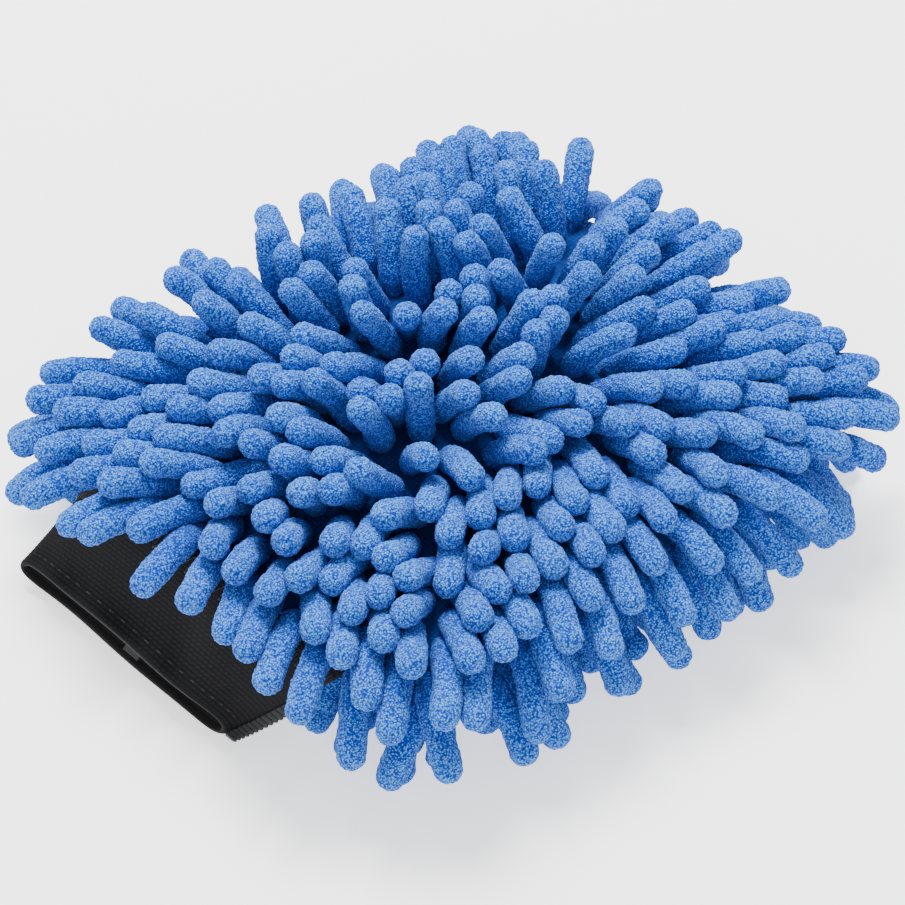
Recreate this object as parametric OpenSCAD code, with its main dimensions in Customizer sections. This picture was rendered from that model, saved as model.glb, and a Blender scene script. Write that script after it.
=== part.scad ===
// Chenille wash mitt: a two-sided pocket of ground cloth, tufted all over with
// chenille noodles, with an elastic cuff that slopes down to the table.
// It lies flat. +Y runs from the cuff to the fingertips, +X across the hand, +Z up.
// The origin is under the middle of the whole mitt, on the table. The functions
// below work from the middle of the pocket, and in_frame() moves the result.

/* [Pocket] */
// Width of the pocket at its rim seam, without the noodles
pocket_w = 150; // [140:1:170]
// Length of the pocket from the cuff seam to the fingertip seam
pocket_l = 174; // [172:1:177]
// Plan radius of the pocket's corners
corner_r = 32; // [26:1:40]
// Half the pocket's thickness, which is also the radius of its rim
rim_r = 8; // [7:0.5:10]
// How far the upper cloth domes above its rim
dome_h = 4; // [0:0.5:8]
// Thickness of the ground cloth
cloth_t = 1.4; // [1:0.1:2]
// How far the soft pocket has slumped sideways, as a share of the distance along it
slump = 0.15; // [0:0.01:0.16]

/* [Noodles] */
// Length of a noodle from the cloth to its tip
noodle_l = 30; // [24:1:34]
// Radius of a noodle
noodle_r = 4; // [3.5:0.1:4]
// Radius of a noodle where it is sewn through the cloth
root_r = 2.6; // [1.5:0.1:3]
// Distance between two noodles of a row
noodle_pitch = 10.8; // [10.8:0.1:13]
// Distance between two rows
row_pitch = 9.5; // [9.4:0.05:9.6]
// Lean of the outermost noodles on the flat of the upper face, in degrees
upper_lean = 26; // [0:1:30]
// Lean of the noodles that carry the mitt, in degrees
lower_lean = 38; // [30:1:38]

/* [Cuff] */
// Length of the cuff from the pocket's edge to its mouth
cuff_l = 25; // [24:1:40]
// How far the mouth swings towards -X
cuff_swing = 12; // [0:1:14]
// Half the cuff's width where it joins the pocket
cuff_w0 = 52; // [50:1:54]
// Half the cuff's width at its mouth
cuff_w1 = 44; // [40:1:50]
// Half the height of the cuff's mouth
mouth_h = 6.4; // [5:0.1:8]
// Thickness of one leaf of the folded cuff band
leaf_t = 0.8; // [0.6:0.1:1]
// Diameter of an elastic strand
strand_d = 0.5; // [0.3:0.1:0.5]
// Number of elastic strands in each half of the cuff
strands = 8; // [4:1:10]

/* [Label] */
// Width of the care label
label_w = 6; // [6:1:16]
// Length of the care label from its seam to its fold
label_l = 12; // [10:1:16]

/* [Hidden] */
half_w = pocket_w / 2;
half_l = pocket_l / 2;
split = 0.3; // half the gap between what rides on the upper and the lower cloth
embed = 0.7; // how deep a noodle's root sits in the cloth
tip_lift = (noodle_l - noodle_r) * cos(lower_lean) + noodle_r - embed + 0.2;
seam_z = tip_lift + rim_r + split; // height of the rim seam above the table
rim_arc = 90 * PI / 180 * rim_r; // length of cloth round a quarter of the rim
slack = rim_arc - rim_r; // how far the flat cloth reaches past the pocket's outline
rim_elevation = 12; // elevation of a noodle sewn at the rim seam
edge_margin = 3; // bare cloth beside the rim seam
rows = 19;
mouth_in = 3; // from the cuff seam to the first row
row_places = 17; // most noodles that a row can hold
first_lower = 2; // the lower cloth has no first row, where the cuff slopes down past it

function row_name(side, k) = str(side, "_row_", k < 10 ? "0" : "", k);

// ---------- Shared shape of the pocket ----------

function sgn(v) = v < 0 ? -1 : 1;
function clamp(v) = max(0, min(1, v));
function ease(v) = clamp(v) * clamp(v) * (3 - 2 * clamp(v));

// Distance inwards from a rounded rectangle's edge and the outward direction there
function inset(p, a, b, c) =
    let (q = [abs(p.x) - (a - c), abs(p.y) - (b - c)])
    q.x > 0 && q.y > 0
        ? [c - norm(q), [sgn(p.x) * q.x, sgn(p.y) * q.y] / max(norm(q), 0.001)]
        : q.x - c > q.y - c
            ? [a - abs(p.x), [sgn(p.x), 0]]
            : [b - abs(p.y), [0, sgn(p.y)]];

// 1 where the cloth turns down to the rim seam, 0 along the mouth, where it runs into the cuff
mouth_flat = 40;
mouth_turn = 55;
function turned(p) = p.y > 0 ? 1 : ease((abs(p.x) - mouth_flat) / (mouth_turn - mouth_flat));

function dome(p) =
    let (u = p.x / (half_w - rim_r), v = p.y / (half_l - rim_r))
    dome_h * max(0, 1 - u * u) * max(0, 1 - v * v);

// Height of the cloth's outer face above or below the rim seam
function cloth_rise(p, beta, side) =
    split + rim_r * (1 - turned(p) * (1 - sin(beta))) + (side > 0 ? dome(p) : 0);

// ---------- Place in the part's frame ----------

// Where a point of the straight pocket lies once the mitt has slumped
function slumped(p) = [p.x + slump * p.y, p.y, p.z];

// How far the noodles' tips stand from the middle of the pocket, at the fingertips
tip_reach = max([for (side = [-1, 1]) for (r = row_roots(rows, side))
    r[0].y + r[1].y * (noodle_l - noodle_r)]) + noodle_r;
frame_shift = (half_l + cuff_l - tip_reach) / 2; // puts the origin under the middle of the whole mitt

module in_frame() {
    translate([0, frame_shift, 0]) children();
}

// ---------- Ground cloths ----------

corner_steps = 7;
side_steps = 4;
mouth_steps = 12;

// The outline as [skeleton point, outward direction], anticlockwise from the right side
function side_points(from, to, n, count) =
    [for (i = [1:count - 1]) [from + (to - from) * i / count, n]];
function corner_points(centre, start) =
    [for (i = [0:corner_steps])
        let (t = start + 90 * i / corner_steps) [centre, [cos(t), sin(t)]]];
sx = half_w - corner_r;
sy = half_l - corner_r;
OUTLINE = concat(
    side_points([sx, -sy], [sx, sy], [1, 0], side_steps),
    corner_points([sx, sy], 0),
    side_points([sx, sy], [-sx, sy], [0, 1], side_steps),
    corner_points([-sx, sy], 90),
    side_points([-sx, sy], [-sx, -sy], [-1, 0], side_steps),
    corner_points([-sx, -sy], 180),
    side_points([-sx, -sy], [sx, -sy], [0, -1], mouth_steps),
    corner_points([sx, -sy], 270)
);
RIM_ANGLES = [0, 30, 60, 90];
SHRINKS = [0.8, 0.55, 0.28];

function cloth_point(o, beta, shrink, depth, side) =
    let (
        edge = o[0] + o[1] * (corner_r - rim_r * (1 - cos(beta))),
        p = edge * shrink,
        m = turned(edge),
        n = [o[1].x * m * cos(beta), o[1].y * m * cos(beta), m * sin(beta) + 1 - m],
        q = n / norm(n) * depth
    )
    slumped([p.x - q.x, p.y - q.y, seam_z + side * (cloth_rise(shrink < 1 ? p : edge, beta, side) - q.z)]);

function cloth_rings(depth, side) = concat(
    [for (b = RIM_ANGLES) [for (o = OUTLINE) cloth_point(o, b, 1, depth, side)]],
    [for (s = SHRINKS) [for (o = OUTLINE) cloth_point(o, 90, s, depth, side)]]
);

function flat(rings) = [for (r = rings) each r];

// Triangles between two rings of n points that start at a and b
function band(a, b, n) =
    [for (i = [0:n - 1]) let (j = (i + 1) % n) each [[a + i, b + i, b + j], [a + i, b + j, a + j]]];
function fan(a, centre, n, flip) =
    [for (i = [0:n - 1]) let (j = (i + 1) % n) flip ? [a + j, a + i, centre] : [a + i, a + j, centre]];
function reversed(f) = [for (t = f) [t[2], t[1], t[0]]];

module cloth(side) {
    n = len(OUTLINE);
    rings = len(RIM_ANGLES) + len(SHRINKS);
    outer = flat(cloth_rings(0, side));
    inner = flat(cloth_rings(cloth_t, side));
    top_z = seam_z + side * (split + rim_r + (side > 0 ? dome_h : 0));
    points = concat(outer, inner, [[0, 0, top_z], [0, 0, top_z - side * cloth_t]]);
    skin = concat(
        [for (r = [0:rings - 2]) each band(r * n, (r + 1) * n, n)],
        fan((rings - 1) * n, 2 * rings * n, n, true)
    );
    lining = concat(
        [for (r = [0:rings - 2]) each reversed(band((rings + r) * n, (rings + r + 1) * n, n))],
        fan((2 * rings - 1) * n, 2 * rings * n + 1, n, false)
    );
    edge = band(rings * n, 0, n);
    faces = concat(skin, lining, edge);
    in_frame() polyhedron(points, side > 0 ? faces : reversed(faces), convexity = 6);
}

module upper_cloth() {
    color("#3767ae") cloth(1);
}

module lower_cloth() {
    color("#3767ae") cloth(-1);
}

// ---------- Rim seam: the two cloths' turned-in edges, overlocked together ----------

seam_in = 5; // width of the seam allowance
seam_h = 2.2; // its thickness

// Slumped rounded rectangle, inset from the pocket's outline
module rim_block(in, h) {
    r = corner_r - in;
    corners = [[sx, sy], [-sx, sy], [-sx, -sy], [sx, -sy]];
    edge = [for (k = [0:3]) for (a = [0:6:90])
        slumped([corners[k].x + r * cos(90 * k + a), corners[k].y + r * sin(90 * k + a), 0])];
    linear_extrude(height = h, center = true) polygon([for (p = edge) [p.x, p.y]]);
}

module rim_seam() {
    outside = cloth_t + 0.7; // clear of the faceted corners of the cloth
    color("#2f5ba3")
        translate([0, frame_shift, seam_z])
            difference() {
                rim_block(outside, seam_h);
                rim_block(outside + seam_in, 2 * seam_h);
                translate([-slump * half_l, -half_l, 0])
                    cube([2 * (mouth_turn + 4), 4 * seam_in, 2 * seam_h], center = true);
            }
}

// ---------- Chenille noodles ----------

// One noodle along +Z, narrow where it is sewn through the cloth
module noodle() {
    neck = 5;
    body = noodle_l - noodle_r;
    tip = [for (t = [0:30:90]) [noodle_r * cos(t), body + noodle_r * sin(t)]];
    rotate_extrude($fn = 24)
        polygon(concat([[0, 0], [root_r, 0], [noodle_r, neck]], tip));
}

// Direction in which the noodles lean: across the nearest edge, turning smoothly at the corners
function lean_way(p) =
    let (v = [pow(p.x / half_w, 3), pow(p.y / half_l, 3)])
    v / max(norm(v), 0.000001);

// Where a point of the flat cloth lies on the pocket: [place, direction of the noodle]
function rooted(p, side) =
    let (
        hit = inset(p, half_w + slack, half_l + slack, corner_r + slack),
        s = hit[0],
        beta = min(90, s / rim_arc * 90),
        shift = s < rim_arc ? rim_r * (1 - cos(beta)) - (s - slack) : 0,
        plan = p - hit[1] * shift,
        reach = min(1, norm([plan.x / half_w, plan.y / half_l])),
        steep = 90 - (side > 0 ? upper_lean * reach * reach : lower_lean),
        at_rim = (1 - beta / 90) * turned(plan),
        elevation = steep + (rim_elevation - steep) * at_rim,
        way = lean_way(plan)
    )
    [
        slumped([plan.x, plan.y, seam_z + side * (cloth_rise(plan, beta, side) - embed * sin(max(beta, 45)))]),
        [way.x * cos(elevation), way.y * cos(elevation), side * sin(elevation)]
    ];

function row_roots(k, side) =
    let (
        y = -half_l + mouth_in + (k - 1) * row_pitch,
        stagger = k % 2 == 0 ? noodle_pitch / 2 : 0
    )
    [for (i = [0:row_places - 1])
        let (p = [(i - (row_places - 1) / 2) * noodle_pitch + stagger, y])
        if (inset(p, half_w + slack, half_l + slack, corner_r + slack)[0] >= edge_margin)
            rooted(p, side)];

module noodle_row(k, side) {
    color("#4f8fe6")
        for (r = row_roots(k, side))
            translate(r[0] + [0, frame_shift, 0])
                rotate([0, acos(r[1].z), atan2(r[1].y, r[1].x)])
                    noodle();
}

// ---------- Cuff ----------

cuff_in = 4; // how far the cuff reaches under the cloth
leaf_gap = 0.7; // room between the two leaves of the folded band
mouth_z = mouth_h + 1; // height of the middle of the mouth
throat_h = rim_r - cloth_t - 1.1; // half the height of the cuff inside the pocket
cuff_steps = 20;

// t runs from 0 at the sewn end to 1 at the mouth, which droops in an easy curve
function cuff_y(t) = -half_l + cuff_in - (cuff_l + cuff_in) * t;
function cuff_mid(t) = seam_z + (mouth_z - seam_z) * ease(t);
function cuff_x(t) = slump * cuff_y(t) - cuff_swing * ease(t);
function cuff_w(t) = cuff_w0 + (cuff_w1 - cuff_w0) * t;
function cuff_h(t) = throat_h + (mouth_h - throat_h) * t;

// A point of the cuff at t along it, at angle phi round it, in by depth
function cuff_point(t, phi, depth, side) =
    [cuff_x(t) + (cuff_w(t) - depth) * cos(phi), cuff_y(t), cuff_mid(t) + side * (split + (cuff_h(t) - depth) * sin(phi))];

// Sweeps a closed profile of [t, depth] pairs round half of the cuff
module cuff_sweep(profile, side, from = 0, to = 180, steps = cuff_steps) {
    n = len(profile);
    points = [for (i = [0:steps]) for (q = profile)
        cuff_point(q[0], from + (to - from) * i / steps, q[1], side)];
    walls = [for (i = [0:steps - 1]) each band(i * n, (i + 1) * n, n)];
    ends = concat(
        [for (i = [1:n - 2]) [0, i, i + 1]],
        [for (i = [1:n - 2]) [steps * n, steps * n + i + 1, steps * n + i]]
    );
    faces = concat(walls, ends);
    in_frame() polyhedron(points, side > 0 ? reversed(faces) : faces, convexity = 8);
}

along_cuff = [for (i = [0:16]) i / 16];
fold_t = 1 - leaf_t / (cuff_l + cuff_in);
whole = 2 * leaf_t + leaf_gap; // thickness of the folded band

// The band is folded back inside at the mouth: its two leaves and the fold are one U
U_OUTSIDE = concat(
    [for (t = along_cuff) [t, 0]],
    [for (i = [len(along_cuff) - 1:-1:0]) [along_cuff[i], whole]]
);
U_INSIDE = concat(
    [for (t = along_cuff) [min(t, fold_t), leaf_t]],
    [for (i = [len(along_cuff) - 1:-1:0]) [min(along_cuff[i], fold_t), whole - leaf_t]]
);

module cuff_half(side) {
    m = len(U_OUTSIDE);
    n = 2 * m;
    profile = concat(U_OUTSIDE, [for (i = [m - 1:-1:0]) U_INSIDE[i]]);
    points = [for (i = [0:cuff_steps]) for (q = profile)
        cuff_point(q[0], 180 * i / cuff_steps, q[1], side)];
    walls = [for (i = [0:cuff_steps - 1]) each band(i * n, (i + 1) * n, n)];
    last = cuff_steps * n;
    ends = [for (i = [0:m - 2]) let (j = n - 1 - i) each [
        [i, i + 1, j], [i + 1, j - 1, j],
        [last + i, last + j, last + i + 1], [last + i + 1, last + j, last + j - 1]
    ]];
    faces = concat(walls, ends);
    color("#141416") in_frame() polyhedron(points, side > 0 ? reversed(faces) : faces, convexity = 8);
}

module cuff_upper() {
    cuff_half(1);
}

module cuff_lower() {
    cuff_half(-1);
}

// Covered rubber strands that lie between the two leaves and gather the band
module elastic(side) {
    middle = leaf_t + leaf_gap / 2;
    half = strand_d / 2;
    span = half / (cuff_l + cuff_in);
    color("#26262a")
        for (i = [1:strands])
            let (t = i / (strands + 1))
                cuff_sweep(
                    [for (a = [0:90:270]) [t + span * cos(a), middle + half * sin(a)]],
                    side, 9, 171, 18
                );
}

module elastic_upper() {
    elastic(1);
}

module elastic_lower() {
    elastic(-1);
}

// Overlock seam that closes the cloth's edge onto the cuff
join_h = 0.3;
join_l = 4;

module cuff_join(side) {
    t0 = (cuff_in + 1.2) / (cuff_l + cuff_in);
    t1 = t0 + join_l / (cuff_l + cuff_in);
    clear = -0.1;
    color("#101012")
        cuff_sweep([[t0, clear - join_h], [t1, clear - join_h], [t1, clear], [t0, clear]], side);
}

module cuff_join_upper() {
    cuff_join(1);
}

module cuff_join_lower() {
    cuff_join(-1);
}

// Row of stitches that holds the folded band, as short raised threads
stitch_t = 0.86;
stitch_l = 2.6; // length of a stitch, in degrees round the cuff
stitch_count = 22;

module cuff_stitch(side) {
    width = 0.5 / (cuff_l + cuff_in);
    color("#2a2a2e")
        for (i = [0:stitch_count - 1])
            let (a = 20 + 140 * i / (stitch_count - 1))
                cuff_sweep(
                    [[stitch_t, -0.55], [stitch_t + width, -0.55], [stitch_t + width, -0.1], [stitch_t, -0.1]],
                    side, a - stitch_l / 2, a + stitch_l / 2, 1
                );
}

module cuff_stitch_upper() {
    cuff_stitch(1);
}

module cuff_stitch_lower() {
    cuff_stitch(-1);
}

// Overlocked fin where the band's two ends are sewn together, on the +X side
fin_out = 4;
fin_t = 1.6;
fin_steps = 8;

module cuff_side_seam() {
    first = (cuff_in + join_l + 3) / (cuff_l + cuff_in);
    clear = 0.15;
    stations = [for (i = [0:fin_steps]) first + (1 - first) * i / fin_steps];
    points = [for (t = stations)
        let (x = cuff_x(t) + cuff_w(t) + clear, y = cuff_y(t), z = cuff_mid(t) - fin_t / 2)
        each [[x, y, z], [x + fin_out, y, z], [x + fin_out, y, z + fin_t], [x, y, z + fin_t]]];
    walls = [for (i = [0:fin_steps - 1]) each band(4 * i, 4 * i + 4, 4)];
    last = 4 * fin_steps;
    ends = [[0, 1, 2], [0, 2, 3], [last, last + 2, last + 1], [last, last + 3, last + 2]];
    color("#141416") in_frame() polyhedron(points, concat(walls, ends), convexity = 4);
}

// ---------- Care label: a folded satin tab sewn inside the lower half of the mouth ----------

label_t = 0.8;
label_x = 3; // off the middle of the mouth
label_in = 11; // how far inside the mouth it is sewn

module care_label() {
    hinge_t = 1 - label_in / (cuff_l + cuff_in);
    y = cuff_y(hinge_t);
    floor_z = cuff_mid(hinge_t) - split - cuff_h(hinge_t) + 2 * leaf_t + leaf_gap;
    lip_z = cuff_mid(1) - split - cuff_h(1) + 2 * leaf_t + leaf_gap;
    slope = atan2(floor_z - lip_z, y - cuff_y(1));
    color("#1c1c20")
        translate([cuff_x(1) + label_x, y + frame_shift, floor_z + 0.5])
            rotate([slope, 0, 0])
                translate([-label_w / 2, -label_l, 0])
                    cube([label_w, label_l, label_t]);
}

// ---------- What is drawn ----------

upper_cloth();
lower_cloth();
rim_seam();
cuff_upper();
cuff_lower();
elastic_upper();
elastic_lower();
cuff_join_upper();
cuff_join_lower();
cuff_side_seam();
cuff_stitch_upper();
cuff_stitch_lower();
care_label();
for (k = [1:rows])
    noodle_row(k, 1);
for (k = [first_lower:rows])
    noodle_row(k, -1);
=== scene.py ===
import math

import bpy
import numpy as np
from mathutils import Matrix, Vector


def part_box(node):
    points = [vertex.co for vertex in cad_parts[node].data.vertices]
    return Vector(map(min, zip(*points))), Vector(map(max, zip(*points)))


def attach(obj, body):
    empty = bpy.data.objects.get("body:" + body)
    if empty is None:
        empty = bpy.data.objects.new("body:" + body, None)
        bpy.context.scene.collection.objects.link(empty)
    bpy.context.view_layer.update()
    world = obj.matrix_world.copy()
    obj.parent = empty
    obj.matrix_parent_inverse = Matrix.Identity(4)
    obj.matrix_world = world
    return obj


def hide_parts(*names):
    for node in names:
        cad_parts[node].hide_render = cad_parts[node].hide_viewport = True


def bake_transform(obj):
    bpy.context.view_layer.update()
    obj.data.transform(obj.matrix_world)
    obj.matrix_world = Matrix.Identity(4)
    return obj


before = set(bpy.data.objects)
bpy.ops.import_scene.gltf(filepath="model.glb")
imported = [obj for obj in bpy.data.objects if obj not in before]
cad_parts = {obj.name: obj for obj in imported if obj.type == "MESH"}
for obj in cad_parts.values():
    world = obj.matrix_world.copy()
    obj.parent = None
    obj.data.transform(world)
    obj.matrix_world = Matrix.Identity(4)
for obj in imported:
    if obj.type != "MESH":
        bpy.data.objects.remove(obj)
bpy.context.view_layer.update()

# A chenille wash mitt: a pocket of ground cloth tufted all over with chenille noodles, and an
# elastic cuff of black ribbed knit. Lengths are in millimetres until a mesh is made.

MM = 0.001
SEED = 11

# ---------- Sizes of the mitt ----------

cloth_low, cloth_high = (np.array(corner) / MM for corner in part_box("upper_cloth"))
cuff_low = np.array(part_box("cuff_upper")[0]) / MM

HALF_W = 75.0
HALF_L = (cloth_high[1] - cloth_low[1]) / 2
MIDDLE_Y = (cloth_high[1] + cloth_low[1]) / 2
SPLIT = 0.3  # half the gap between the two cloths
SEAM_Z = cloth_low[2] - SPLIT
CORNER_R = 32.0
RIM_R = 8.0
DOME_H = 4.0
CLOTH_T = 1.4
SLUMP = 0.15  # the soft pocket lies a little sheared
RIM_ARC = math.pi / 2 * RIM_R
SLACK = RIM_ARC - RIM_R
MOUTH_FLAT, MOUTH_TURN = 40.0, 55.0

ROWS = 19
ROW_PLACES = 17
ROW_PITCH = 9.5
NOODLE_PITCH = 10.8
MOUTH_IN = 3.0
EDGE_MARGIN = 3.0
EMBED = 0.7
RIM_ELEVATION = 12.0
UPPER_LEAN, LOWER_LEAN = 26.0, 38.0
FIRST_ROW = {1: 1, -1: 2}  # the lower cloth has no row where the cuff slopes down past it

NOODLE_L = 30.0
NOODLE_R = 4.35
ROOT_R = 2.7

CUFF_IN = 4.0
CUFF_L = cloth_low[1] - cuff_low[1]
CUFF_W0, CUFF_W1 = 52.0, 44.0
CUFF_SWING = 12.0
MOUTH_H = 6.4
MOUTH_Z = MOUTH_H + 1.0
THROAT_H = RIM_R - CLOTH_T - 1.1
LEAF_T, LEAF_GAP = 0.8, 0.7
BAND_T = 2 * LEAF_T + LEAF_GAP


def smooth(v):
    v = np.clip(v, 0.0, 1.0)
    return v * v * (3 - 2 * v)


def unit(v):
    return v / np.maximum(np.linalg.norm(v, axis=-1, keepdims=True), 1e-9)


def slumped(points, way=1):
    """Moves points of the straight pocket to where they lie, or back with way=-1."""
    moved = np.array(points, dtype=float)
    moved[..., 0] += way * SLUMP * moved[..., 1]
    return moved


# ---------- The pocket's shape, as a rule ----------


def inset(p, half_w, half_l, corner):
    """How far each plan point lies inside a rounded rectangle, and the way out of it there."""
    sign = np.where(p < 0, -1.0, 1.0)
    q = np.abs(p) - (np.array([half_w, half_l]) - corner)
    reach = np.linalg.norm(q, axis=1)
    at_corner = (q > 0).all(axis=1)
    along_x = q[:, 0] > q[:, 1]
    depth = np.where(along_x, half_w - np.abs(p[:, 0]), half_l - np.abs(p[:, 1]))
    depth = np.where(at_corner, corner - reach, depth)
    straight = np.stack([along_x, ~along_x], axis=1) * sign
    out = np.where(at_corner[:, None], sign * q / np.maximum(reach, 1e-3)[:, None], straight)
    return depth, out


def turned(p):
    """1 where the cloth turns down to the rim seam, 0 along the mouth."""
    beyond_mouth = (np.abs(p[:, 0]) - MOUTH_FLAT) / (MOUTH_TURN - MOUTH_FLAT)
    return np.where(p[:, 1] > 0, 1.0, smooth(beyond_mouth))


def dome(p):
    u = p[:, 0] / (HALF_W - RIM_R)
    v = p[:, 1] / (HALF_L - RIM_R)
    return DOME_H * np.maximum(0, 1 - u * u) * np.maximum(0, 1 - v * v)


def cloth_rise(p, beta, side):
    height = SPLIT + RIM_R * (1 - turned(p) * (1 - np.sin(beta)))
    return height + (dome(p) if side > 0 else 0)


def cuff_y(t):
    return -HALF_L + CUFF_IN - (CUFF_L + CUFF_IN) * t


def cuff_x(t):
    return SLUMP * cuff_y(t) - CUFF_SWING * smooth(t)


def cuff_mid(t):
    return SEAM_Z + (MOUTH_Z - SEAM_Z) * smooth(t)


def cuff_w(t):
    return CUFF_W0 + (CUFF_W1 - CUFF_W0) * t


def cuff_h(t):
    return THROAT_H + (MOUTH_H - THROAT_H) * t


# ---------- Roots of the noodles ----------


def rooted(side):
    """Row, root and direction of every noodle of one cloth, and how near it is to the rim seam."""
    rows, spots = [], []
    for row in range(FIRST_ROW[side], ROWS + 1):
        y = -HALF_L + MOUTH_IN + (row - 1) * ROW_PITCH
        stagger = NOODLE_PITCH / 2 if row % 2 == 0 else 0
        for place in range(ROW_PLACES):
            rows.append(row)
            spots.append(((place - (ROW_PLACES - 1) / 2) * NOODLE_PITCH + stagger, y))
    rows, spots = np.array(rows), np.array(spots)
    depth, out = inset(spots, HALF_W + SLACK, HALF_L + SLACK, CORNER_R + SLACK)
    held = depth >= EDGE_MARGIN
    rows, spots, depth, out = rows[held], spots[held], depth[held], out[held]
    beta = np.minimum(1, depth / RIM_ARC) * math.pi / 2
    rolled = np.where(depth < RIM_ARC, RIM_R * (1 - np.cos(beta)) - (depth - SLACK), 0)
    plan = spots - out * rolled[:, None]
    spread = plan / [HALF_W, HALF_L]
    reach = np.minimum(1, np.linalg.norm(spread, axis=1))
    lean = UPPER_LEAN * reach**2 if side > 0 else np.full(len(reach), LOWER_LEAN)
    at_rim = (1 - beta / (math.pi / 2)) * turned(plan)
    elevation = np.radians(90 - lean + (RIM_ELEVATION - 90 + lean) * at_rim)
    way = unit(spread**3)
    sunk = EMBED * np.sin(np.maximum(beta, math.pi / 4))
    height = SEAM_Z + side * (cloth_rise(plan, beta, side) - sunk)
    place = slumped(np.column_stack([plan, height]))
    direction = np.column_stack([way * np.cos(elevation)[:, None], side * np.sin(elevation)])
    return rows, place, direction, at_rim


# The nap of the upper face, as it was last brushed. Along each of two directions, a list holds
# [distance from the middle, how far the noodles lean that way]
NEAR = np.array([0.684, -0.729])  # towards the corner between the mouth and the +X side
ALONG_NEAR = (
    (-95, -1.6), (-72, -0.75), (-50, -0.2), (-20, 0.12), (2, 0.28),
    (16, 0.46), (32, 0.62), (50, 1.1), (70, 2.0), (100, 2.6),
)  # fmt: skip
PARTING = ((-60, 12), (-20, 10), (15, -6), (60, -8))  # how far the parting bows towards NEAR
ACROSS = np.array([0.729, 0.684])
ALONG_ACROSS = (
    (-100, -1.7), (-80, -0.85), (-55, -0.3), (-20, -0.05),
    (22, 0.0), (42, 0.3), (70, 1.0), (100, 2.0),
)  # fmt: skip


def combed(plan):
    """The way that the noodles of the upper face have been brushed, by where they are sewn."""
    swirl = np.column_stack([np.sin(plan[:, 1] / 17 + 0.6), np.sin(plan[:, 0] / 14 + 1.1)])
    wander = WANDER * np.sin(plan[:, 0] / 21 + plan[:, 1] / 33)
    across = plan @ ACROSS + wander
    near = plan @ NEAR - np.interp(across, *np.array(PARTING).T) + wander
    pull = SWIRL * swirl
    pull += np.interp(near, *np.array(ALONG_NEAR).T)[:, None] * NEAR
    return pull + np.interp(across, *np.array(ALONG_ACROSS).T)[:, None] * ACROSS


# ---------- How the noodles lie ----------

BEADS = 8
SPINE = NOODLE_L - NOODLE_R  # from the root to the middle of the round tip
STEP = SPINE / (BEADS - 1)
TURNS = 150
SETTLED_R = 4.08  # the pile gives a little where two noodles press
SAG = 0.16
FLOOR_CLEAR = 4.3
PUSH = 0.35  # share of an overlap that each push takes away
GLIDE = 0.6  # share of its movement that a bead keeps from turn to turn
FLEX = 0.13  # how hard a noodle straightens itself
HOLD = 0.35  # how hard its root is held in the way that it leans
GIVE = 0.4  # how far the pile sinks where it lies on the pocket or the cuff
ROOT_BEADS_R = (2.8, 3.7)  # the first beads of a noodle are thinner
ROOT_BEADS_CLEAR = (-10, 1.5, 3.0)  # and may come closer to the cloth that they grow from
SWIRL, WANDER = 0.2, 5  # the brush strokes' small turns, as a lean and in millimetres
UPRIGHT = 0.75
UNEVEN, CURLY = 0.16, 0.035  # how the noodles differ in where they lean and how they bend
RIM_HANG = {1: -0.75, -1: -0.75}  # how steeply the noodles beside the rim seam hang


def near_pairs(beads, reach):
    """Pairs of beads of different noodles that are closer than reach."""
    count = len(beads)
    middle = beads.mean(axis=1)
    apart = np.linalg.norm(middle[:, None] - middle[None], axis=2)
    first, second = np.nonzero(np.triu(apart < SPINE + reach, 1))
    gap = np.linalg.norm(beads[first][:, :, None] - beads[second][:, None], axis=3)
    pair, a, b = np.nonzero(gap < reach)
    return first[pair] * BEADS + a, second[pair] * BEADS + b, count * BEADS


def push_apart(flat, pairs, thickness):
    a, b, total = pairs
    gap = flat[a] - flat[b]
    length = np.linalg.norm(gap, axis=1)
    wanted = thickness[a % BEADS] + thickness[b % BEADS]
    share = np.maximum(0, wanted - length) / np.maximum(length, 1e-6) * PUSH
    push = gap * share[:, None]
    for axis in range(3):
        flat[:, axis] += np.bincount(a, push[:, axis], total) - np.bincount(b, push[:, axis], total)


def off_the_pocket(p, clear):
    """Moves points that are closer to the pocket than clear out to it."""
    plan = slumped(p, -1)[:, :2]
    depth, out = inset(plan, HALF_W - RIM_R, HALF_L - RIM_R, CORNER_R - RIM_R)
    beyond = np.maximum(0, -depth)
    rise = p[:, 2] - SEAM_Z
    rise = np.where(rise > 0, np.maximum(rise - dome(plan), 0.01), rise)
    length = np.maximum(np.hypot(beyond, rise), 1e-3)
    short = np.maximum(0, RIM_R + SPLIT + clear - length)
    p[:, :2] += out * (beyond / length * short)[:, None]
    p[:, 2] += rise / length * short


def off_the_cuff(p, clear):
    t = (-HALF_L + CUFF_IN - p[:, 1]) / (CUFF_L + CUFF_IN)
    across = (p[:, 0] - cuff_x(t)) / cuff_w(t)
    over = (t > 0) & (t < 1.05) & (np.abs(across) < 1)
    half = (cuff_h(t) + SPLIT) * np.sqrt(np.maximum(0, 1 - across**2)) + clear
    rise = p[:, 2] - cuff_mid(np.clip(t, 0, 1))
    short = np.where(over, np.maximum(0, half - np.abs(rise)), 0)
    p[:, 2] += np.where(rise > 0, short, -short)


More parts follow.
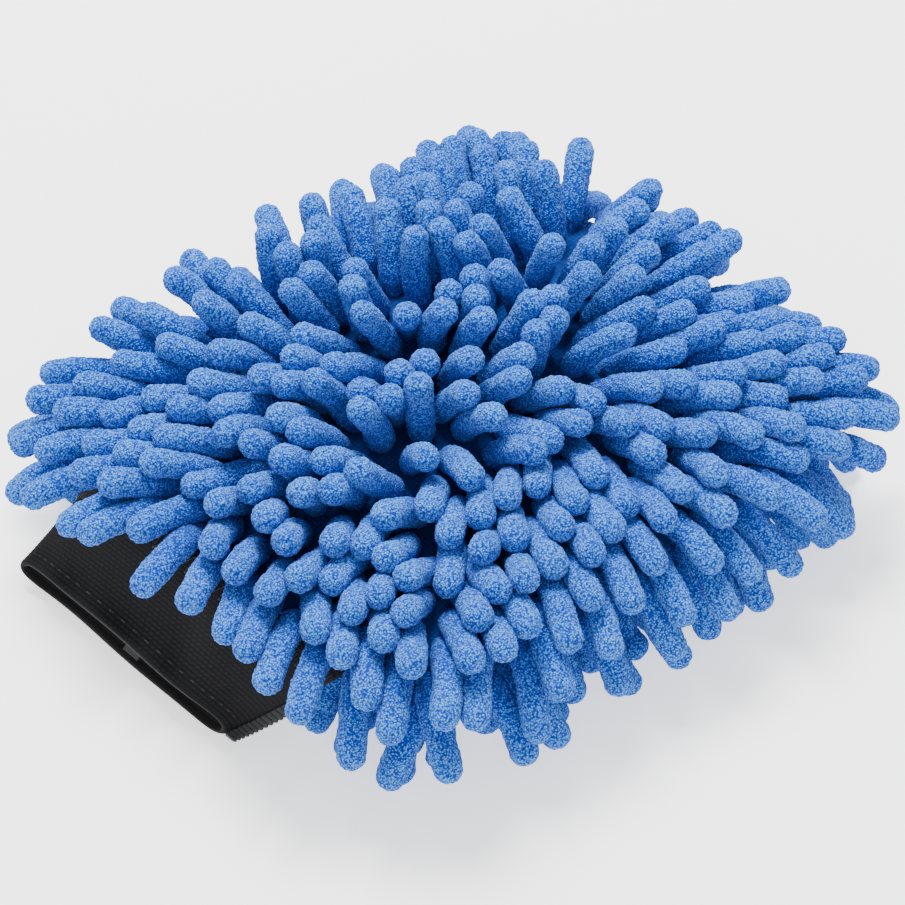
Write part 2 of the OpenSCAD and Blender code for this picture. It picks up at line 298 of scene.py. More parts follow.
def settle(root, start, goal, curl):
    """Lets flexible noodles lean from start to goal, sag, and press against each other."""
    beads = root[:, None] + start[:, None] * (np.arange(BEADS) * STEP)[None, :, None]
    before = beads.copy()
    thickness = np.full(BEADS, SETTLED_R)
    thickness[:2] = ROOT_BEADS_R
    clear = np.full(BEADS, SETTLED_R - GIVE)
    clear[:3] = ROOT_BEADS_CLEAR
    clear = np.tile(clear, len(root))
    pairs = near_pairs(beads, 2 * SETTLED_R + 3)
    for turn in range(TURNS):
        way = unit(start + (goal - start) * min(1, 2 * turn / TURNS))
        drift = (beads - before) * GLIDE
        before = beads.copy()
        beads += drift
        beads[:, 2:, 2] -= SAG
        beads[:, 3:] += curl[:, None]
        if turn % 4 == 0:
            pairs = near_pairs(beads, 2 * SETTLED_R + 2.5)
        for _ in range(3):
            beads[:, 1] += (root + way * STEP - beads[:, 1]) * HOLD
            for k in range(2, BEADS):
                straight = 2 * beads[:, k - 1] - beads[:, k - 2]
                beads[:, k] += (straight - beads[:, k]) * FLEX
            flat = beads.reshape(-1, 3)
            push_apart(flat, pairs, thickness)
            off_the_pocket(flat, clear)
            off_the_cuff(flat, clear)
            flat[:, 2] = np.maximum(flat[:, 2], FLOOR_CLEAR)
            beads[:, 0] = root
            for k in range(1, BEADS):
                beads[:, k] = beads[:, k - 1] + unit(beads[:, k] - beads[:, k - 1]) * STEP
    return beads


def grow_noodles():
    rng = np.random.default_rng(SEED)
    rows, roots, starts, goals, sides = [], [], [], [], []
    for side in (1, -1):
        row, root, start, at_rim = rooted(side)
        if side > 0:
            pull = combed(root[:, :2])
            goal = unit(np.column_stack([pull, np.full(len(root), UPRIGHT)]))
        else:
            goal = start
        hang = unit(start * [1, 1, 0] + [0, 0, RIM_HANG[side]])
        goal = unit(goal * (1 - at_rim)[:, None] + hang * at_rim[:, None])
        rows.append(row)
        roots.append(root)
        starts.append(start)
        goals.append(goal)
        sides.append(np.full(len(row), side))
    row, side = np.concatenate(rows), np.concatenate(sides)
    root, start, goal = np.concatenate(roots), np.concatenate(starts), np.concatenate(goals)
    goal = unit(goal + rng.normal(0, UNEVEN, goal.shape))
    curl = rng.normal(0, CURLY, goal.shape)
    beads = settle(root, start, goal, curl)
    beads[..., 1] += MIDDLE_Y
    return row, side, beads, rng


# ---------- Building helpers ----------


def add(tree, kind, inputs=None, **settings):
    """Adds a node to a tree. Its inputs are values, or the output sockets of other nodes."""
    node = tree.nodes.new(kind)
    for name, value in settings.items():
        setattr(node, name, value)
    for key, value in (inputs or {}).items():
        if isinstance(value, bpy.types.NodeSocket):
            tree.links.new(value, node.inputs[key])
        else:
            node.inputs[key].default_value = value
    return node


def colour(code):
    """A linear colour from an sRGB hex value."""
    parts = [int(code[i : i + 2], 16) / 255 for i in (0, 2, 4)]
    return [c / 12.92 if c < 0.04045 else ((c + 0.055) / 1.055) ** 2.4 for c in parts] + [1]


def new_piece(name, mesh, material):
    mesh.materials.clear()
    mesh.materials.append(material)
    piece = bpy.data.objects.new(name, mesh)
    bpy.context.scene.collection.objects.link(piece)
    return piece


def mesh_of(name, points, faces, edges=()):
    mesh = bpy.data.meshes.new(name)
    mesh.from_pydata((np.asarray(points) * MM).tolist(), list(edges), faces)
    mesh.update()
    return mesh


def grown(name, skeleton, tree, values, material):
    """Runs a Geometry Nodes tree on a skeleton mesh and returns the result as a plain piece."""
    base = bpy.data.objects.new(name + "_skeleton", skeleton)
    bpy.context.scene.collection.objects.link(base)
    modifier = base.modifiers.new("grow", "NODES")
    modifier.node_group = tree
    sockets = {s.name: s.identifier for s in tree.interface.items_tree if s.in_out == "INPUT"}
    for key, value in values.items():
        modifier[sockets[key]] = value
    modifier[sockets["Material"]] = material
    evaluated = base.evaluated_get(bpy.context.evaluated_depsgraph_get())
    mesh = bpy.data.meshes.new_from_object(evaluated)
    bpy.data.objects.remove(base)
    mesh.name = name
    return new_piece(name, mesh, material)


def new_tree(name, inputs):
    """A Geometry Nodes tree with a Geometry input and output and the named inputs."""
    tree = bpy.data.node_groups.new(name, "GeometryNodeTree")
    tree.interface.new_socket("Geometry", in_out="INPUT", socket_type="NodeSocketGeometry")
    for key, (kind, value) in inputs.items():
        socket = tree.interface.new_socket(key, in_out="INPUT", socket_type="NodeSocket" + kind)
        socket.default_value = value
    tree.interface.new_socket("Material", in_out="INPUT", socket_type="NodeSocketMaterial")
    tree.interface.new_socket("Geometry", in_out="OUTPUT", socket_type="NodeSocketGeometry")
    return tree, add(tree, "NodeGroupInput"), add(tree, "NodeGroupOutput")


def finish_tree(tree, source, sink, geometry):
    smooth_faces = add(tree, "GeometryNodeSetShadeSmooth", {"Geometry": geometry})
    real = add(tree, "GeometryNodeRealizeInstances", {"Geometry": smooth_faces.outputs[0]})
    dressed = add(
        tree,
        "GeometryNodeSetMaterial",
        {"Geometry": real.outputs[0], "Material": source.outputs["Material"]},
    )
    tree.links.new(dressed.outputs[0], sink.inputs[0])
    return tree


# ---------- Geometry Nodes: a chenille noodle round each spine ----------


def noodle_tree():
    tree, source, sink = new_tree(
        "Chenille noodle",
        {
            "Sides": ("Int", 32),
            "Tuft size": ("Float", 1.15 * MM),
            "Tuft height": ("Float", 0.52 * MM),
        },
    )
    spine = add(tree, "GeometryNodeMeshToCurve", {0: source.outputs["Geometry"]})
    ring = add(
        tree,
        "GeometryNodeCurvePrimitiveCircle",
        {"Resolution": source.outputs["Sides"], "Radius": 1.0},
    )
    thickness = add(tree, "GeometryNodeInputNamedAttribute", {"Name": "thickness"})
    skin = add(
        tree,
        "GeometryNodeCurveToMesh",
        {
            "Curve": spine.outputs[0],
            "Profile Curve": ring.outputs[0],
            "Scale": thickness.outputs[0],
            "Fill Caps": True,
        },
    )
    place = add(tree, "GeometryNodeInputPosition")
    tuft_size, tuft_height = source.outputs["Tuft size"], source.outputs["Tuft height"]
    per_metre = add(tree, "ShaderNodeMath", {0: 1.0, 1: tuft_size}, operation="DIVIDE")
    tufts = add(
        tree,
        "ShaderNodeTexVoronoi",
        {"Vector": place.outputs[0], "Scale": per_metre.outputs[0], "Randomness": 0.85},
    )
    pile = add(
        tree,
        "ShaderNodeMapRange",
        {0: tufts.outputs["Distance"], 1: 0.05, 2: 0.75, 3: 1.0, 4: 0.0},
    )
    # the tufts' height, also kept for the shader, which paints a painted highlight on the tips and
    # painted shade in the crevices
    kept = add(
        tree,
        "GeometryNodeStoreNamedAttribute",
        {"Geometry": skin.outputs[0], "Name": "pile", "Value": pile.outputs[0]},
    )
    centred = add(tree, "ShaderNodeMath", {0: pile.outputs[0], 1: 0.6}, operation="SUBTRACT")
    lift = add(
        tree,
        "ShaderNodeMath",
        {0: centred.outputs[0], 1: tuft_height},
        operation="MULTIPLY",
    )
    normal = add(tree, "GeometryNodeInputNormal")
    offset = add(tree, "ShaderNodeVectorMath", {0: normal.outputs[0]}, operation="SCALE")
    tree.links.new(lift.outputs[0], offset.inputs["Scale"])
    tufted = add(
        tree,
        "GeometryNodeSetPosition",
        {"Geometry": kept.outputs[0], "Offset": offset.outputs[0]},
    )
    return finish_tree(tree, source, sink, tufted.outputs[0])


def spline_through(beads, at):
    """Catmull-Rom curve through each noodle's beads, at distances along it in steps."""
    first = 2 * beads[:, :1] - beads[:, 1:2]
    last = 2 * beads[:, -1:] - beads[:, -2:-1]
    knots = np.concatenate([first, beads, last], axis=1)
    k = np.clip(np.floor(at).astype(int), 0, BEADS - 2)
    f = (at - k)[None, :, None]
    p0, p1, p2, p3 = (knots[:, k + i] for i in range(4))
    squared = (2 * p0 - 5 * p1 + 4 * p2 - p3) * f**2
    cubed = (3 * p1 - p0 - 3 * p2 + p3) * f**3
    return 0.5 * (2 * p1 + (p2 - p0) * f + squared + cubed)


def noodle_skeleton(name, beads, spacing, tip_rings, rng):
    """Polylines with a thickness at each point: a narrow root, a straight body and a round tip."""
    body = np.linspace(-1.0, SPINE, int(SPINE / spacing) + 2)
    turn = np.linspace(0, math.pi / 2, tip_rings + 1)[1:]
    turn[-1] = math.radians(88)
    along = np.concatenate([body, SPINE + NOODLE_R * np.sin(turn)])
    neck = np.clip(body / 5.0, 0, 1)
    radius = np.concatenate([ROOT_R + (NOODLE_R - ROOT_R) * smooth(neck), NOODLE_R * np.cos(turn)])
    places = spline_through(beads, np.minimum(along, SPINE) / STEP)
    heading = unit(beads[:, -1] - beads[:, -2])
    places += heading[:, None] * np.maximum(0, along - SPINE)[None, :, None]
    count, rings = places.shape[:2]
    girth = 1 + rng.normal(0, 0.025, (count, 1))
    swell = 1 + 0.03 * np.sin(along[None] * 0.55 + rng.uniform(0, 6.28, (count, 1)))
    thickness = radius[None] * girth * swell
    start = np.arange(count)[:, None] * rings + np.arange(rings - 1)[None]
    edges = np.stack([start, start + 1], axis=-1).reshape(-1, 2)
    mesh = mesh_of(name, places.reshape(-1, 3), [], edges.tolist())
    layers = {
        "thickness": thickness * MM,
        "batch": np.repeat(rng.uniform(0, 1, (count, 1)), rings, axis=1),
        "along": np.repeat(along[None] / NOODLE_L, count, axis=0),
    }
    for key, value in layers.items():
        layer = mesh.attributes.new(key, "FLOAT", "POINT")
        layer.data.foreach_set("value", value.reshape(-1).astype(np.float32))
    return mesh


# ---------- Materials ----------


def new_material(name):
    material = bpy.data.materials.new(name)
    material.use_nodes = True
    tree = material.node_tree
    return material, tree, tree.nodes["Principled BSDF"]


def set_shader(shader, **values):
    for key, value in values.items():
        shader.inputs[key.replace("_", " ")].default_value = value


def toned(tree, value, low, high, floor, ceiling):
    """A value from low..high, mapped to floor..ceiling."""
    node = add(tree, "ShaderNodeMapRange", {0: value, 1: low, 2: high, 3: floor, 4: ceiling})
    return node.outputs[0]


def summed(tree, first, second):
    return add(tree, "ShaderNodeMath", {0: first, 1: second}, operation="ADD").outputs[0]


def add_bump(tree, shader, height, strength, distance):
    bump = add(
        tree,
        "ShaderNodeBump",
        {"Height": height, "Strength": strength, "Distance": distance * MM},
    )
    tree.links.new(bump.outputs[0], shader.inputs["Normal"])
    return bump


def chenille():
    """Split-fibre microfibre cut pile, twisted into cords. The tufts' ends carry a painted
    highlight and the gaps between them carry painted deep-blue shade; the fine fibres give a soft
    rim of light and no gloss."""
    material, tree, shader = new_material("Chenille microfibre pile")
    place = add(tree, "ShaderNodeTexCoord").outputs["Object"]
    pile = add(tree, "ShaderNodeAttribute", attribute_name="pile")
    batch = add(tree, "ShaderNodeAttribute", attribute_name="batch")
    # fibre ends, drawn at 0.6 mm because a single split fibre is far too fine to show
    fibres = add(
        tree,
        "ShaderNodeTexVoronoi",
        {"Vector": place, "Scale": 1 / (0.6 * MM), "Randomness": 1.0},
    )
    grain = add(
        tree,
        "ShaderNodeTexNoise",
        {"Vector": place, "Scale": 1 / (0.42 * MM), "Detail": 3.0, "Roughness": 0.7},
    )
    fibre_tone = toned(tree, fibres.outputs["Distance"], 0.12, 0.7, 0.56, -0.5)
    grain_tone = toned(tree, grain.outputs[0], 0.3, 0.7, -0.2, 0.2)
    batch_tone = toned(tree, batch.outputs["Fac"], 0.0, 1.0, -0.05, 0.05)
    along = add(tree, "ShaderNodeAttribute", attribute_name="along")
    # painted shade: the pile is painted darker towards the root, where the noodles shade each other
    root_painted_shade = toned(tree, along.outputs["Fac"], 0.0, 0.75, -0.35, 0.05)
    # painted highlight and shade: the tips of the tufts are painted lighter and the crevices
    # between them darker
    tone = toned(tree, pile.outputs["Fac"], 0.0, 1.0, 0.28, 0.72)
    for part in (fibre_tone, grain_tone, batch_tone, root_painted_shade):
        tone = summed(tree, tone, part)
    # the ramp runs from the painted shade of the crevices, through the pile's own blue, to the
    # painted highlight of the tips
    ramp = add(tree, "ShaderNodeValToRGB", {0: tone})
    stops = ramp.color_ramp.elements
    stops[0].position, stops[0].color = 0.0, colour("06359a")
    stops[1].position, stops[1].color = 1.0, colour("7cbcff")
    middle = stops.new(0.5)
    middle.color = colour("3083ee")
    tree.links.new(ramp.outputs[0], shader.inputs["Base Color"])
    add_bump(tree, shader, summed(tree, fibre_tone, grain_tone), 0.9, 0.5)
    set_shader(shader, Roughness=0.92, Specular_IOR_Level=0.12)
    set_shader(shader, Sheen_Weight=0.22, Sheen_Roughness=0.45)
    shader.inputs["Sheen Tint"].default_value = colour("a9cdfb")
    return material


def ground_cloth():
    """Warp-knitted polyester ground: a close mesh of loops under the pile, matte, and painted dark
    blue as the shade that falls under the noodles.
    """
    material, tree, shader = new_material("Knitted ground cloth")
    place = add(tree, "ShaderNodeTexCoord").outputs["Object"]
    loops = add(
        tree,
        "ShaderNodeTexVoronoi",
        {"Vector": place, "Scale": 1 / (1.4 * MM), "Randomness": 0.25},
    )
    ramp = add(tree, "ShaderNodeValToRGB", {0: loops.outputs["Distance"]})
    # painted shade: the cloth's blues are darkened to stand for the shade under the noodles
    stops = ramp.color_ramp.elements
    stops[0].position, stops[0].color = 0.1, colour("13387f")
    stops[1].position, stops[1].color = 0.7, colour("0a2459")
    tree.links.new(ramp.outputs[0], shader.inputs["Base Color"])
    add_bump(tree, shader, loops.outputs["Distance"], 0.6, 0.4).invert = True
    set_shader(shader, Roughness=0.95, Sheen_Weight=0.03, Specular_IOR_Level=0.05)
    return material


def rib_knit():
    """Covered-elastic rib knit, solution-dyed black: dull, with a painted highlight that makes the
    ribs' crowns grey and painted shade that keeps the grooves black.
    """
    material, tree, shader = new_material("Black elastic rib knit")
    place = add(tree, "ShaderNodeTexCoord").outputs["Object"]
    rib = add(tree, "ShaderNodeAttribute", attribute_name="rib")
    fuzz = add(
        tree,
        "ShaderNodeTexNoise",
        {"Vector": place, "Scale": 1 / (0.6 * MM), "Detail": 3.0},
    ).outputs[0]
    # painted highlight and shade: the rib crowns and loops are painted lighter, the grooves darker
    tone = add(tree, "ShaderNodeMath", {0: rib.outputs["Fac"], 1: fuzz}, operation="MULTIPLY")
    ramp = add(tree, "ShaderNodeValToRGB", {0: tone.outputs[0]})
    stops = ramp.color_ramp.elements
    stops[0].position, stops[0].color = 0.0, colour("050506")
    stops[1].position, stops[1].color = 0.75, colour("222225")
    tree.links.new(ramp.outputs[0], shader.inputs["Base Color"])
    add_bump(tree, shader, fuzz, 0.35, 0.3)
    set_shader(shader, Roughness=0.85, Specular_IOR_Level=0.2)
    set_shader(shader, Sheen_Weight=0.08, Sheen_Roughness=0.5)
    return material


def black_thread():
    """Spun polyester overlock thread: black, with a twist that shows as fine slanting lines."""
    material, tree, shader = new_material("Black overlock thread")
    place = add(tree, "ShaderNodeTexCoord").outputs["Object"]
    twist = add(
        tree,
        "ShaderNodeTexWave",
        {"Vector": place, "Scale": 1 / (1.2 * MM), "Distortion": 2.0, "Detail": 1.0},
        bands_direction="DIAGONAL",
    )
    ramp = add(tree, "ShaderNodeValToRGB", {0: twist.outputs["Fac"]})
    stops = ramp.color_ramp.elements
    stops[0].color, stops[1].color = colour("08080a"), colour("232326")
    tree.links.new(ramp.outputs[0], shader.inputs["Base Color"])
    add_bump(tree, shader, twist.outputs["Fac"], 0.4, 0.1)
    set_shader(shader, Roughness=0.7, Sheen_Weight=0.15, Specular_IOR_Level=0.35)
    return material


def elastic_rubber():
    """Extruded latex strand with a wrapped yarn cover: near black with faint cross rings."""
    material, tree, shader = new_material("Covered rubber strand")
    place = add(tree, "ShaderNodeTexCoord").outputs["Object"]
    wrap = add(
        tree,
        "ShaderNodeTexWave",
        {"Vector": place, "Scale": 1 / (1.5 * MM)},
        bands_direction="X",
    )
    ramp = add(tree, "ShaderNodeValToRGB", {0: wrap.outputs["Fac"]})
    stops = ramp.color_ramp.elements
    stops[0].color, stops[1].color = colour("121214"), colour("2c2c30")
    tree.links.new(ramp.outputs[0], shader.inputs["Base Color"])
    set_shader(shader, Roughness=0.6)
    return material


def label_satin():
    """Woven polyester satin: smooth, with a soft shine along its weft."""
    material, tree, shader = new_material("Woven satin label")
    place = add(tree, "ShaderNodeTexCoord").outputs["Object"]
    weft = add(
        tree,
        "ShaderNodeTexWave",
        {"Vector": place, "Scale": 1 / (0.8 * MM)},
        bands_direction="Y",
    )
    ramp = add(tree, "ShaderNodeValToRGB", {0: weft.outputs["Fac"]})
    stops = ramp.color_ramp.elements
    stops[0].color, stops[1].color = colour("1d1d20"), colour("343438")
    tree.links.new(ramp.outputs[0], shader.inputs["Base Color"])
    add_bump(tree, shader, weft.outputs["Fac"], 0.3, 0.1)
    set_shader(shader, Roughness=0.42, Sheen_Weight=0.1)
    return material


# ---------- Pieces: noodles ----------

# For each cloth: the word in its nodes' names and the body it is on, then how finely its noodles
# are made, as sides, spacing of the rings and rings on the tip. The lower ones hardly show
LOOKS = {1: ("upper", "back", 40, 0.62, 8), -1: ("lower", "palm", 22, 1.2, 5)}


def make_noodles(material):
    row, side, beads, rng = grow_noodles()
    tree = noodle_tree()
    for which, (word, body, sides, spacing, tip_rings) in LOOKS.items():
        for number in range(FIRST_ROW[which], ROWS + 1):
            own = beads[(row == number) & (side == which)]
            node = f"{word}_row_{number:02d}"
            skeleton = noodle_skeleton(node, own, spacing, tip_rings, rng)
            piece = grown(f"chenille_{node}", skeleton, tree, {"Sides": sides}, material)
            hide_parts(node)
            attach(piece, body)


# ---------- Pieces: ground cloths ----------

RIM_STEPS = 8
FLAT_STEPS = 14
OUTLINE_STEPS = 200


def outline():
    """Points of the rounded rectangle that the rim turns about, and the way out at each."""
    half = np.array([HALF_W, HALF_L]) - CORNER_R
    angle = np.linspace(0, 2 * math.pi, OUTLINE_STEPS, endpoint=False)
    way = np.column_stack([np.cos(angle), np.sin(angle)])
    # a square with its corners swept, so that points spread along the straight sides too
    spread = np.clip(way * 1.45, -1, 1)
    return spread * half, unit(np.where(np.abs(spread) < 1, 0, way) + way * 1e-6)


def cloth_shell(side):
    core, way = outline()
    rings = []
    for depth in (0, CLOTH_T):
        layer = []
        for step in range(RIM_STEPS + FLAT_STEPS):
            beta = min(1, step / (RIM_STEPS - 1)) * math.pi / 2
            shrink = 1 - smooth(max(0, step - RIM_STEPS + 1) / FLAT_STEPS) * 0.97
            edge = core + way * (CORNER_R - RIM_R * (1 - math.cos(beta)))
            plan = edge * shrink
            bend = turned(edge)
            outwards = way * (bend * math.cos(beta))[:, None]
            upwards = bend * math.sin(beta) + 1 - bend
            inwards = unit(np.column_stack([outwards, upwards])) * depth
            rise = cloth_rise(plan if step >= RIM_STEPS else edge, beta, side)
            height = SEAM_Z + side * (rise - inwards[:, 2])
            layer.append(np.column_stack([plan - inwards[:, :2], height]))
        rings.extend(layer if depth == 0 else layer[::-1])
    points = slumped(np.concatenate(rings))
    points[:, 1] += MIDDLE_Y
    return points, len(rings), OUTLINE_STEPS


def wrap_faces(rings, around, closed):
    """Quads between successive rings of points, and from the last to the first if closed."""
    ring = np.arange(rings if closed else rings - 1)[:, None]
    i = np.arange(around)[None]
    j = (i + 1) % around
    here, there = ring * around, (ring + 1) % rings * around
    return np.stack([here + i, there + i, there + j, here + j], axis=-1).reshape(-1, 4)


def make_cloths(material):
    for side, node in ((1, "upper_cloth"), (-1, "lower_cloth")):
        points, rings, around = cloth_shell(side)
        faces = wrap_faces(rings, around, True)
        if side < 0:
            faces = faces[:, ::-1]
        mesh = mesh_of(node, points, faces.tolist())
        mesh.shade_smooth()
        piece = new_piece("ground_" + node, mesh, material)
        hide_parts(node)
        if side > 0:
            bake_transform(piece)
        else:
            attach(piece, "palm")


# ---------- Pieces: cuff ----------

RIB_PITCH = 1.35
RIB_H = 0.24
LOOPS = 130  # round the whole cuff
AROUND = 540
ALONG_LEAF = 110
SWAY = (0.7, 0.35)  # how far the mouth's edge waves
BLEND_REACH = 4.5  # from the band's middle to where it follows one body only
BULGE = 0.08  # how uneven the mouth's opening is, as a share of its height


def cuff_surface(t, phi, depth):
    """Points of the cuff: t along it, phi round it, in from its outer face by depth."""
    h = cuff_h(t) + SPLIT
    sway = SWAY[0] * t**2 * np.sin(3 * phi + 0.7) + SWAY[1] * t**2 * np.sin(5 * phi)
    bulge = 1 + BULGE * t**2 * np.sin(2 * phi + 0.4)
    x = cuff_x(t) + (cuff_w(t) - depth) * np.cos(phi)
    z = cuff_mid(t) + (h - depth) * np.sin(phi) * bulge
    return np.stack([x, cuff_y(t) + sway + MIDDLE_Y, z], axis=-1)


def cuff_reach(t):
    """Length of cloth from the mouth to t, on the cuff's slope."""
    fine = np.linspace(0, 1, 400)
    slope = np.hypot(np.gradient(cuff_y(fine)), np.gradient(cuff_mid(fine)))
    return np.interp(t, fine, (slope.sum() - np.cumsum(slope)))


def finish_cuff_piece(mesh, material, slot, *nodes):
    """Dresses a mesh of the cuff as a piece in place of the named parts, with its place baked into
    its points.
    """
    piece = new_piece(mesh.name, mesh, material)
    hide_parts(*nodes)
    slope = unit(np.array([0, cuff_y(1) - cuff_y(0), cuff_mid(1) - cuff_mid(0)]))
    across = np.array([0, slope[2], -slope[1]])
    across *= np.sign(across[2]) * BLEND_REACH
    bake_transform(piece)


def make_cuff(material):
    leaf = np.linspace(0, 1, ALONG_LEAF)
    turn = np.linspace(0, math.pi, 9)[1:-1]
    fold_t = 1 - BAND_T / 2 / (CUFF_L + CUFF_IN)
    half = BAND_T / 2
    fold = [(fold_t + (1 - fold_t) * math.sin(a), half - half * math.cos(a)) for a in turn]
    outer = [(t * fold_t, 0.0) for t in leaf]
    inner = [(t * fold_t, BAND_T) for t in leaf[::-3]]
    hidden = [(t * fold_t, BAND_T - LEAF_T) for t in leaf[::12]]
    hidden += [(t * fold_t, LEAF_T) for t in leaf[::-12]]
    profile = np.array(outer + fold + inner + hidden)
    phi = np.linspace(0, 2 * math.pi, AROUND, endpoint=False)
    t = np.repeat(profile[:, 0], AROUND)
    depth = np.repeat(profile[:, 1], AROUND)
    angle = np.tile(phi, len(profile))
    reach = cuff_reach(t)
    rib = 0.5 + 0.5 * np.cos(2 * math.pi * reach / RIB_PITCH)
    loop = 0.5 + 0.5 * np.cos(LOOPS * angle + math.pi * np.round(reach / RIB_PITCH))
    shown = (depth < 0.01) | (depth > BAND_T - 0.01)
    raised = np.where(shown, RIB_H * (rib * (0.4 + 0.6 * loop) - 0.4), 0)
    raised = np.where(depth > BAND_T / 2, -raised, raised)
    points = cuff_surface(t, angle, depth - raised).reshape(-1, 3)
    faces = wrap_faces(len(profile), AROUND, True)
    mesh = mesh_of("cuff_band", points, faces.tolist())
    mesh.shade_smooth()
    # the rib tone that the knit's shader turns into a painted highlight on the crowns and painted
    # shade in the grooves
    layer = mesh.attributes.new("rib", "FLOAT", "POINT")
    layer.data.foreach_set("value", (rib * (0.35 + 0.65 * loop)).astype(np.float32))
    finish_cuff_piece(mesh, material, "rib_knit", "cuff_upper", "cuff_lower")


# The strands inside the band, the seam that joins it to the cloth, and its row of stitches

STRANDS = 8
STRAND_R = 0.25
STRAND_RINGS = 180
THREAD_SIDES = 8
JOIN_FROM, JOIN_TO = 1.2, 5.2  # from the end of the cloth
JOIN_R = 0.25
JOIN_LIFT = 0.2
JOIN_LOOPS, JOIN_RINGS = 90, 1440
STITCH_T = 0.87
STITCH_R = 0.2
STITCHES = 22  # on each half of the cuff
STITCH_FIRST, STITCH_LAST = 20, 160  # degrees round the cuff
STITCH_DEGREES = 2.6
STITCH_RINGS = 7


def cuff_threads(name, threads, material, slot, *nodes):
    """Round threads laid round the cuff; each has its t, its depth and its angles at every ring."""
    points, faces = [], []
    turn = np.linspace(0, 2 * math.pi, THREAD_SIDES, endpoint=False)
    for t, depth, angles, radius, closed in threads:
        first = sum(len(part) for part in points)
        wide = t[:, None] + radius / (CUFF_L + CUFF_IN) * np.cos(turn)
        deep = depth[:, None] + radius * np.sin(turn)
        points.append(cuff_surface(wide, angles[:, None], deep).reshape(-1, 3))
        faces += (wrap_faces(len(angles), THREAD_SIDES, closed) + first).tolist()
        if not closed:
            last = first + len(points[-1]) - THREAD_SIDES
            faces.append([first + i for i in range(THREAD_SIDES)][::-1])
            faces.append([last + i for i in range(THREAD_SIDES)])
    mesh = mesh_of(name, np.concatenate(points), faces)
    mesh.shade_smooth()
    finish_cuff_piece(mesh, material, slot, *nodes)


def make_strands(material):
    angles = np.linspace(0, 2 * math.pi, STRAND_RINGS, endpoint=False)
    depth = np.full(STRAND_RINGS, LEAF_T + LEAF_GAP / 2)
    strands = []
    for number in range(1, STRANDS + 1):
        t = np.full(STRAND_RINGS, number / (STRANDS + 1))
        strands.append((t, depth, angles, STRAND_R, True))
    cuff_threads("cuff_strands", strands, material, "elastic", "elastic_upper", "elastic_lower")


def make_join(material):
    """A thread that zigzags over the edges of the cloths and the cuff."""
    angles = np.linspace(0, 2 * math.pi, JOIN_RINGS, endpoint=False)
    from_root = CUFF_IN + (JOIN_FROM + JOIN_TO) / 2
    zigzag = from_root + (JOIN_TO - JOIN_FROM) / 2 * np.sin(angles * JOIN_LOOPS)
    t = zigzag / (CUFF_L + CUFF_IN)
    join = [(t, np.full(JOIN_RINGS, -JOIN_LIFT), angles, JOIN_R, True)]
    nodes = ("cuff_join_upper", "cuff_join_lower")
    cuff_threads("cuff_overlock", join, material, "black_thread", *nodes)


def make_stitches(material):
    """Short threads that come up out of the band and go down into it again."""
    t = np.full(STITCH_RINGS, STITCH_T)
    along = np.radians(np.linspace(-0.5, 0.5, STITCH_RINGS) * STITCH_DEGREES)
    depth = STITCH_R * (1 - 2 * np.sin(np.linspace(0, math.pi, STITCH_RINGS)))
    stitches = []
    for middle in np.radians(np.linspace(STITCH_FIRST, STITCH_LAST, STITCHES)):
        for side in (1, -1):
            stitches.append((t, depth, side * middle + along, STITCH_R, False))
    nodes = ("cuff_stitch_upper", "cuff_stitch_lower")
    cuff_threads("cuff_stitches", stitches, material, "black_thread", *nodes)


# The overlocked fin where the band's ends are sewn together

FIN_OUT, FIN_T = 4.0, 1.6
FIN_FROM = 0.379  # where the fin comes out from under the noodles
FIN_LOOPS = 17


def make_side_fin(material):
    """A flat fin whose threads wrap its edge in loops, so the edge is serrated."""
    t = np.linspace(FIN_FROM, 1.0, FIN_LOOPS * 8 + 1)
    loop = np.abs(np.sin(math.pi * FIN_LOOPS * (t - FIN_FROM) / (1 - FIN_FROM))) ** 0.6
    reach = [(0.1, 0.5), (0.45, 0.5), (0.8, 0.5), (1.0, 0.28), (1.03, 0.0)]
    reach += [(out, -half) for out, half in reach[-2::-1]]
    rings = []
    for out, half in reach:
        worn = out - 0.2 * (1 - loop) * (out > 0.9)
        thick = half * (0.72 + 0.28 * loop)
        edge = cuff_x(t) + cuff_w(t) + FIN_OUT * worn
        rings.append(np.column_stack([edge, cuff_y(t), cuff_mid(t) + FIN_T * thick]))
    count = len(rings)
    points = np.stack(rings, axis=1).reshape(-1, 3)
    points[:, 1] += MIDDLE_Y
    faces = wrap_faces(len(t), count, False).tolist()
    faces += [list(range(count))[::-1], [len(points) - count + i for i in range(count)]]
    mesh = mesh_of("cuff_side_overlock", points, faces)
    finish_cuff_piece(mesh, material, "black_thread", "cuff_side_seam")


# ---------- Floor, light and camera ----------


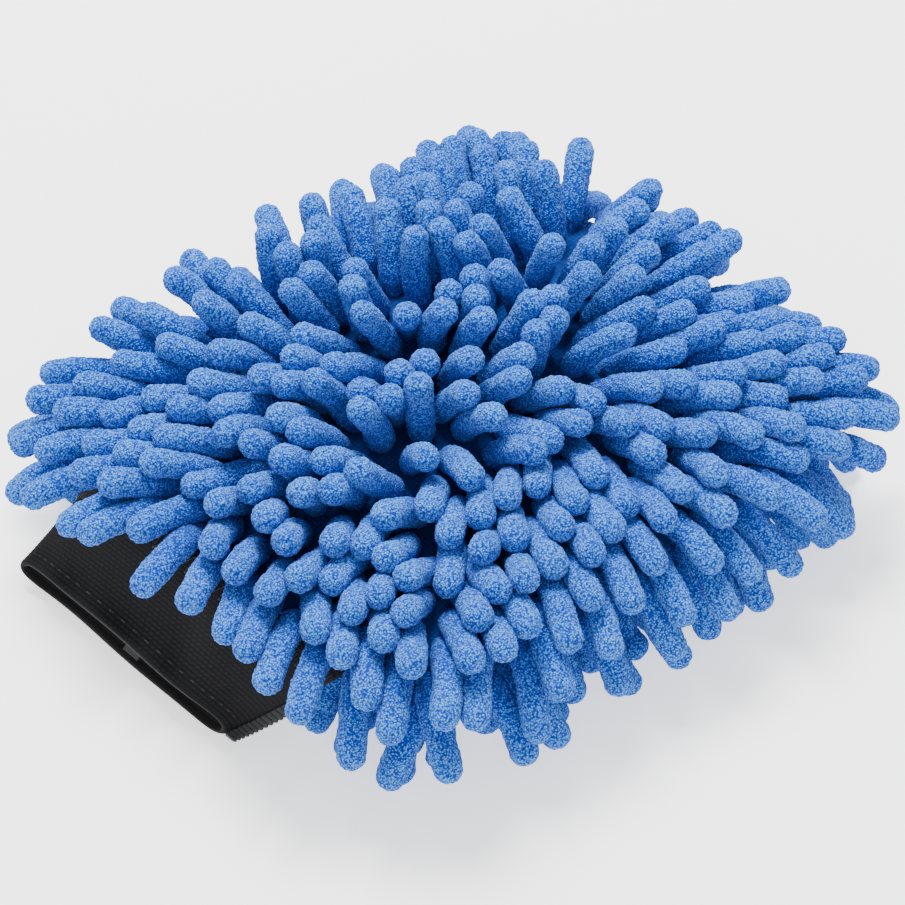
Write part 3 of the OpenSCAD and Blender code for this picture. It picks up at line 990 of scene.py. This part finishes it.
def make_floor():
    material, tree, shader = new_material("White paper sweep")
    place = add(tree, "ShaderNodeTexCoord").outputs["Object"]
    tooth = add(tree, "ShaderNodeTexNoise", {"Vector": place, "Scale": 400.0, "Detail": 2.0})
    add_bump(tree, shader, tooth.outputs[0], 0.02, 0.2)
    shader.inputs["Base Color"].default_value = colour("fafafa")
    # painted light: the floor glows, whiter than the lamps alone make it, and lights the mitt's
    # underside
    shader.inputs["Emission Color"].default_value = colour("ffffff")
    shader.inputs["Emission Strength"].default_value = 1.1
    set_shader(shader, Roughness=0.9, Specular_IOR_Level=0.1)
    size = 3000
    corners = [(-size, -size, 0), (size, -size, 0), (size, size, 0), (-size, size, 0)]
    floor = new_piece("floor", mesh_of("floor", corners, [(0, 1, 2, 3)]), material)


def area_light(name, place, aim, size, watts):
    lamp = bpy.data.lights.new(name, "AREA")
    lamp.shape, lamp.size, lamp.energy = "DISK", size, watts
    light = bpy.data.objects.new(name, lamp)
    light.location = place
    light.rotation_euler = (Vector(aim) - Vector(place)).to_track_quat("-Z", "Y").to_euler()
    bpy.context.scene.collection.objects.link(light)


def make_lights():
    world = bpy.data.worlds.new("studio")
    world.use_nodes = True
    world.node_tree.nodes["Background"].inputs[0].default_value = (1, 1, 1, 1)
    world.node_tree.nodes["Background"].inputs[1].default_value = 0.8
    bpy.context.scene.world = world
    middle = (0, 0, 0.03)
    area_light("key", (-0.45, 0.3, 1.15), middle, 0.6, 40)
    area_light("fill", (0.9, -0.9, 0.9), middle, 1.2, 8)


AZIMUTH, ELEVATION, DISTANCE = 43.2, 49.6, 0.8
LENS_MM, SENSOR_MM = 107.0, 36.0


def make_camera():
    a, e = math.radians(AZIMUTH), math.radians(ELEVATION)
    back = Vector((math.sin(a) * math.cos(e), -math.cos(a) * math.cos(e), math.sin(e)))
    target = Vector((0, 0.003, 0.035))
    lens = bpy.data.cameras.new("camera")
    lens.sensor_width = SENSOR_MM
    lens.lens = LENS_MM
    lens.shift_x, lens.shift_y = -0.0138, -0.0410
    camera = bpy.data.objects.new("camera", lens)
    camera.location = target + back * DISTANCE
    camera.rotation_euler = (-back).to_track_quat("-Z", "Y").to_euler()
    bpy.context.scene.collection.objects.link(camera)
    bpy.context.scene.camera = camera


# ---------- The whole mitt ----------

make_camera()
make_lights()
make_floor()

CHENILLE, CLOTH, KNIT, THREAD = chenille(), ground_cloth(), rib_knit(), black_thread()
make_noodles(CHENILLE)
make_cloths(CLOTH)
make_cuff(KNIT)
make_strands(elastic_rubber())
make_join(THREAD)
make_stitches(THREAD)
make_side_fin(THREAD)

kept_nodes = {"rim_seam": CLOTH, "care_label": label_satin()}
for node, material in kept_nodes.items():
    bpy.data.objects[node].material_slots[0].material = material
